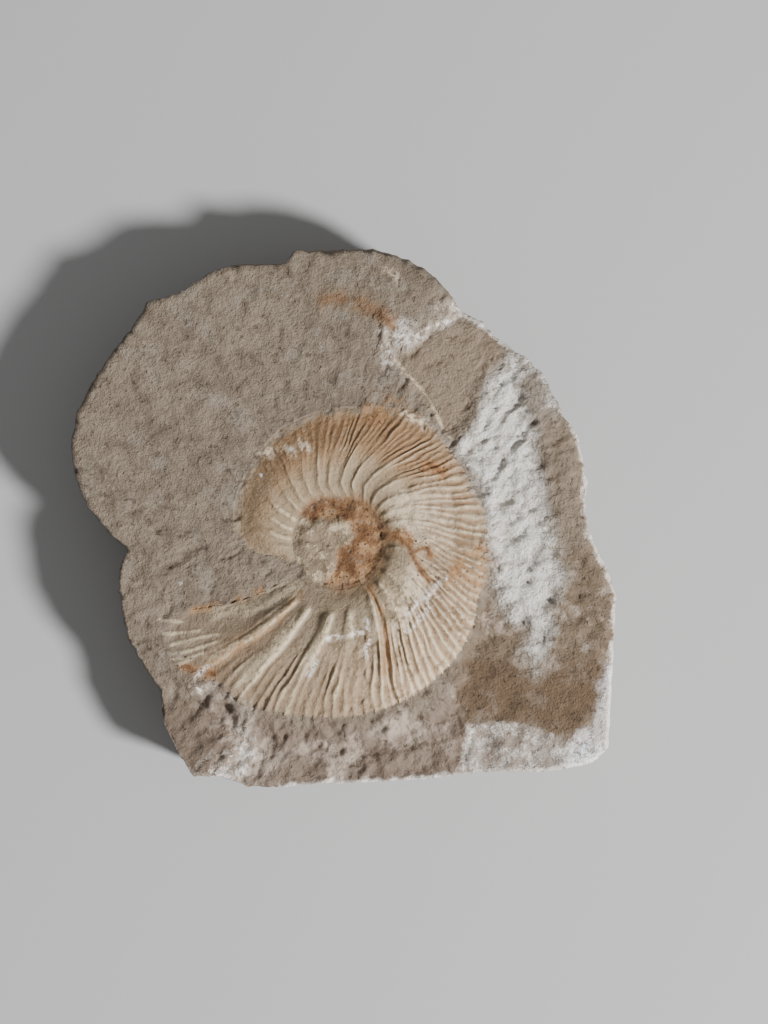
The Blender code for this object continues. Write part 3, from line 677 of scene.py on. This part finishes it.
def fitToBox(points):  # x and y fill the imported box, and the highest rib meets its top
    low, high = (np.array(corner) * 1000 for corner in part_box("ammonite_slab"))
    least, most = points.min(0), points.max(0)
    share = (points - least) / (most - least)
    margin = 0.01
    fitted = low + margin + share * (high - low - 2 * margin)
    fitted[:, 2] = points[:, 2] * min(1, (high[2] - margin) / most[2])
    return fitted


def capital(name):
    return name[:1].upper() + name[1:]


def addMasks(masks, x, y):  # distances that the stone's material reads
    for name in areas:
        masks["in" + capital(name)] = np.clip(depthInArea(name, x, y), -6, 6)
    for name, lines in strokes.items():
        nearest = np.min([lineDistance(points, x, y) for points in lines], axis=0)
        masks["near" + capital(name)] = np.clip(nearest, 0, 6)
    for name, places in spots.items():
        nearest = np.min([np.hypot(x - px, y - py) for px, py in places], axis=0)
        masks["near" + capital(name)] = np.clip(nearest, 0, 6)


def buildStone():
    x, y, z, masks = stoneSurface()
    rows, columns = x.shape
    topRings = rows - grid["underside"]
    mesh = spunDrum(topRings, grid["underside"], columns)
    drum = np.empty(len(mesh.vertices) * 3)
    mesh.vertices.foreach_get("co", drum)
    drum = drum.reshape(-1, 3)
    radius = np.round(np.hypot(drum[:, 0], drum[:, 1])).astype(int)
    turn = np.arctan2(-drum[:, 1], drum[:, 0]) % math.tau
    column = np.round(turn / math.tau * columns).astype(int) % columns
    lower = drum[:, 2] < -0.5
    row = np.where(lower, 2 * topRings - 1 - radius, radius - 1)
    middle = radius == 0
    row, column = np.where(middle, 0, row), np.where(middle, 0, column)
    points = np.stack([x[row, column], y[row, column], z[row, column]], axis=1)
    points[middle, :2] = coil["centre"]
    points[middle & lower, 2] = 0
    mesh.vertices.foreach_set("co", (fitToBox(points) / 1000).ravel())
    for name, values in masks.items():
        layer = mesh.attributes.new(name, "FLOAT", "POINT")
        layer.data.foreach_set("value", values[row, column].astype(np.float32))
    mesh.update()
    mesh.shade_smooth()
    piece = bpy.data.objects.new("ammoniteStone", mesh)
    bpy.context.scene.collection.objects.link(piece)
    print("stone:", len(mesh.polygons), "faces from", rows, "rings and", columns, "columns")
    return piece


class Wire:  # an output socket, so that sums on it become Math nodes
    def __init__(self, finish, socket):
        self.finish, self.socket = finish, socket

    def sum(self, operation, first, second):
        return self.finish.node("ShaderNodeMath", {"operation": operation}, {0: first, 1: second})

    def __add__(self, other):
        return self.sum("ADD", self, other)

    def __radd__(self, other):
        return self.sum("ADD", other, self)

    def __sub__(self, other):
        return self.sum("SUBTRACT", self, other)

    def __rsub__(self, other):
        return self.sum("SUBTRACT", other, self)

    def __mul__(self, other):
        return self.sum("MULTIPLY", self, other)

    def __rmul__(self, other):
        return self.sum("MULTIPLY", other, self)


class Finish:  # one material and its nodes, with the colour built up in layers
    def __init__(self, name, colour):
        self.material = bpy.data.materials.new(name)
        self.material.use_nodes = True
        self.tree = self.material.node_tree
        self.shader = self.tree.nodes["Principled BSDF"]
        self.colour = colour

    def feed(self, socket, value):
        if isinstance(value, Wire):
            self.tree.links.new(value.socket, socket)
        elif isinstance(value, tuple) and len(value) == 3 and socket.type == "RGBA":
            socket.default_value = (*value, 1)
        else:
            socket.default_value = value

    def node(self, kind, settings, inputs, output=0):
        node = self.tree.nodes.new(kind)
        for name, value in settings.items():
            setattr(node, name, value)
        for name, value in inputs.items():
            self.feed(node.inputs[name], value)
        return Wire(self, node.outputs[output])

    def mask(self, name):
        return self.node("ShaderNodeAttribute", {"attribute_name": name}, {}, "Fac")

    def between(self, value, low, high):  # 0 at low, 1 at high, smooth between
        return self.node("ShaderNodeMapRange", {"interpolation_type": "SMOOTHSTEP"},
                         {"Value": value, "From Min": low, "From Max": high})

    def lay(self, name, amount, blend="MIX"):  # a layer of one of the stone's colours
        self.colour = self.node("ShaderNodeMix", {"data_type": "RGBA", "blend_type": blend},
                                {0: amount, 6: self.colour, 7: stone[name]}, 2)

    def grain(self, place, size, detail=4.0, roughness=0.55):  # cloudy noise, size in mm
        return self.node("ShaderNodeTexNoise", {}, {"Vector": place, "Scale": 1 / size,
                         "Detail": detail, "Roughness": roughness})


def limestone():
    finish = Finish("limestoneFinish", stone["plain"])
    between, mask, lay = finish.between, finish.mask, finish.lay
    metres = finish.node("ShaderNodeTexCoord", {}, {}, "Object")
    place = finish.node("ShaderNodeVectorMath", {"operation": "SCALE"}, {0: metres, "Scale": 1000})
    cloud = finish.grain(place, 9.0, 3.0)
    patch = finish.grain(place, 2.6, 5.0)
    grit = finish.grain(place, 0.7, 5.0, 0.65)
    speck = finish.grain(place, 0.28, 3.0, 0.7)
    stray = (patch - 0.5) * 7 + (grit - 0.5) * 3.5  # breaks up the edge of every patch
    onCoil = mask("onCoil")

    def area(name, edge=0.5, wander=1.0):
        return between(mask("in" + name) + stray * wander, -edge, edge)

    def stroke(name, width, wander=0.35):
        return 1 - between(mask("near" + name) + stray * wander, 0, width)

    lay("mottle", between(patch + cloud, 0.84, 1.16))
    lay("bloom", between(finish.grain(place, 4.5, 5.0) + (grit - 0.5) * 0.5, 0.52, 0.7) * 0.55)
    lay("mottle", mask("dim"))
    lay("cream", mask("cream"))
    lay("pale", mask("pale") * between(patch + (grit - 0.5) * 0.8, 0.3, 0.55) * 0.95)
    lay("warm", mask("warm") * between(cloud + (grit - 0.5) * 0.6, 0.22, 0.5) * 0.95)
    lay("fill", mask("fill") * 0.85)
    lay("worn", mask("fill") * between(patch + (grit - 0.5) * 0.6, 0.5, 0.62) * 0.6)
    lay("foot", area("Foot"))
    lay("footPale", area("Foot") * between(finish.grain(place, 5.5, 5.0, 0.6), 0.48, 0.6) * 0.7)
    lay("darkFoot", area("DarkFoot", 1.2) * 0.9)
    lay("brown", area("Brown", 1.2, 0.8))
    lay("deepBrown", area("DeepBrown", 1.5, 0.8))
    torn = between(finish.grain(place, 3.0, 6.0, 0.6), 0.5, 0.7) * area("Brown", 1.5)
    lay("footPale", torn * (1 - area("DeepBrown", 2.5) * 0.75) * 0.8)
    lay("pale", area("Spall", 1.0) * 0.4)
    lay("paleFoot", area("PaleFoot", 0.4, 0.3))
    shade = between(grit + (speck - 0.5) * 0.6 + (patch - 0.5) * 0.8, 0.52, 0.38)
    lay("chalky", between(mask("inWhite") + stray * 0.9, -2.4, 1.2) * 0.8)
    lay("white", between(mask("inWhite") + stray * 0.9, -1.0, 2.0) * (1 - shade * 0.22))
    lay("footPale", area("Crumbled", 2.0, 0.8) * 0.85)
    lay("white", area("Crumbled", 2.0, 0.8) * between(patch + (grit - 0.5), 0.45, 0.64) * 0.75)
    lay("tan", area("Tan", 1.0, 0.7) * 0.9)
    lay("facet", area("Facet", 0.5, 0.3) * 0.92)
    lay("foot", area("PaleFoot", 0.5, 0.3) * between(cloud + patch, 1.0, 0.88) * 0.5)
    lay("white", area("PaleFoot", 0.5, 0.3) * between(patch + (grit - 0.5), 0.5, 0.62) * 0.36)
    lay("chalk", area("Corner", 1.6, 0.6) * (1 - shade * 0.7))
    lay("footPale", area("Corner") * between(cloud + patch, 0.93, 1.1) * 0.7)
    # lighter rib crests: partly wear, partly painted highlight
    lay("worn", mask("worn") * between(grit, 0.3, 0.55))
    # a warm colour in the furrows between the ribs, then painted shade in them
    lay("warm", mask("furrow") * between(grit, 0.35, 0.5) * 0.8)
    lay("shadow", mask("furrow") * 0.35, "MULTIPLY")
    lay("worn", stroke("LipRib", 1.9, 0.3) * between(grit, 0.3, 0.55) * 0.42)
    lay("orange", area("Orange", 1.4, 1.0) * between(patch, 0.38, 0.6) * 0.65)
    lay("orange", stroke("Orange", 1.2, 0.45) * between(patch, 0.34, 0.56) * 0.8)
    blotch = finish.grain(place, 1.5, 5.0, 0.62)
    lay("orange", area("Rust", 0.7, 0.4) * between(patch + (grit - 0.5) * 0.8, 0.3, 0.5) * 0.8)
    lay("rust", area("Rust", 0.6, 0.5) * between(blotch + (grit - 0.5) * 0.4, 0.46, 0.56) * 0.9)
    lay("rust", stroke("Vein", 1.5, 0.4) * between(grit, 0.3, 0.48) * 0.85)
    lay("fill", area("Rust") * between(blotch, 0.44, 0.34) * 0.7)
    lay("orange", stroke("Rust", 1.3, 0.2) * 0.7)
    lay("rust", stroke("Rust", 0.65, 0.12) * between(grit, 0.25, 0.42) * 0.9)
    lay("warm", stroke("Ring", 2.0, 0.3) * 0.6)
    lay("rust", stroke("Ring", 0.5, 0.1) * between(patch, 0.3, 0.48) * 0.8)
    lay("brown", stroke("Stain", 3.0, 0.4) * between(patch, 0.3, 0.55) * 0.7)
    lay("warm", stroke("Stain", 2.3, 0.4) * between(patch, 0.3, 0.55) * 0.5)
    lay("rust", stroke("Stain", 1.4, 0.3) * between(patch, 0.38, 0.54) * 0.55)
    lay("worn", stroke("Hook", 0.4, 0.12) * 0.6)
    # painted highlight along the lit edge of the ledge step
    lay("worn", stroke("Ledge", 0.35, 0.1) * 0.7)
    lay("pale", stroke("Smudge", 1.3, 0.5) * between(grit, 0.4, 0.55) * 0.7)
    lay("white", stroke("Flake", 0.7, 0.42) * between(patch + (grit - 0.5) * 0.8, 0.4, 0.52) * 0.75)
    lay("white", stroke("Rim", 0.9, 0.4) * 0.7)
    lay("side", mask("side") * 0.92)
    lay("mottle", mask("side") * between(patch, 0.4, 0.6) * 0.5)
    lay("bloom", mask("side") * between(cloud + (grit - 0.5) * 0.5, 0.48, 0.62) * 0.7)
    dots = finish.node("ShaderNodeTexVoronoi", {}, {"Vector": place, "Scale": 1.1}, "Distance")
    stained = between(mask("nearRust"), 4.5, 0.5) + area("Rust") + area("Orange", 1.5)
    lay("crack", (1 - between(dots, 0.12, 0.24)) * stained * (1 - mask("side")) * 0.8)
    lay("crack", stroke("Crack", 0.3, 0.15) * between(grit, 0.4, 0.55) * 0.8)
    # dark spots painted at the pits: painted shade
    lay("crack", stroke("Pit", 0.4, 0.1))
    lay("chalk", stroke("Fleck", 0.4, 0.3) * 0.7)
    holes = between(finish.grain(place, 1.2, 5.0, 0.6), 0.6, 0.68) * (1 - onCoil * 0.7)
    # painted shade in the pits, the grain's hollows, small holes and fine dents
    lay("shadow", mask("pitted") * (0.4 - area("White", 1.4) * 0.3), "MULTIPLY")
    broken = area("White", 2.0) + area("PaleFoot", 1.0)
    lay("shadow", mask("hollow") * (0.12 + broken * 0.18), "MULTIPLY")
    lay("shadow", holes * (0.5 - area("White", 1.4) * 0.3), "MULTIPLY")
    lay("shadow", between(speck, 0.42, 0.3) * 0.35, "MULTIPLY")
    finish.feed(finish.shader.inputs["Base Color"], finish.colour)
    finish.shader.inputs["Roughness"].default_value = stone["roughness"]
    white = area("White", 1.4)
    height = (grit * 0.7 + speck * 0.35) * (1 + white * 1.5) + patch * (0.5 + white) - holes * 0.25
    normal = finish.node("ShaderNodeBump", {}, {"Height": height * (1 - onCoil * 0.35),
                         "Distance": stone["bump"], "Strength": 1.0})
    finish.feed(finish.shader.inputs["Normal"], normal)
    print("limestone:", len(finish.tree.nodes), "nodes")
    return finish.material


def addCamera():
    camera = bpy.data.cameras.new("camera")
    camera.lens = view["lens"]
    camera.clip_start = 0.01
    holder = bpy.data.objects.new("camera", camera)
    bpy.context.scene.collection.objects.link(holder)
    tilt = math.radians(view["tilt"])
    back = Vector((0, -math.sin(tilt), math.cos(tilt)))
    holder.location = (Vector(view["target"]) + view["distance"] * back) / 1000
    holder.rotation_euler = back.to_track_quat("Z", "Y").to_euler()
    bpy.context.scene.camera = holder


def addLights():
    key = bpy.data.lights.new("key", "AREA")
    key.shape = "DISK"
    key.size = light["size"]
    key.energy = light["power"]
    holder = bpy.data.objects.new("key", key)
    bpy.context.scene.collection.objects.link(holder)
    direction = Vector(light["direction"]).normalized()
    holder.location = direction * light["distance"]
    holder.rotation_euler = direction.to_track_quat("Z", "Y").to_euler()
    world = bpy.data.worlds.new("studio")
    world.use_nodes = True
    world.node_tree.nodes["Background"].inputs["Color"].default_value = (1, 1, 1, 1)
    world.node_tree.nodes["Background"].inputs["Strength"].default_value = light["fill"]
    bpy.context.scene.world = world


def addFloor():
    sheet = bmesh.new()
    bmesh.ops.create_grid(sheet, x_segments=1, y_segments=1, size=1.5)
    mesh = bpy.data.meshes.new("floor")
    sheet.to_mesh(mesh)
    sheet.free()
    floor = bpy.data.objects.new("floor", mesh)
    floor.location.z = -0.00005  # clear of the underside
    bpy.context.scene.collection.objects.link(floor)
    finish = Finish("floorFinish", light["floor"])
    finish.feed(finish.shader.inputs["Base Color"], finish.colour)
    finish.shader.inputs["Roughness"].default_value = 0.9
    mesh.materials.append(finish.material)


addCamera()
addLights()
addFloor()
slab = buildStone()
slab.data.materials.append(limestone())
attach(slab, "root")
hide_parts("ammonite_slab")
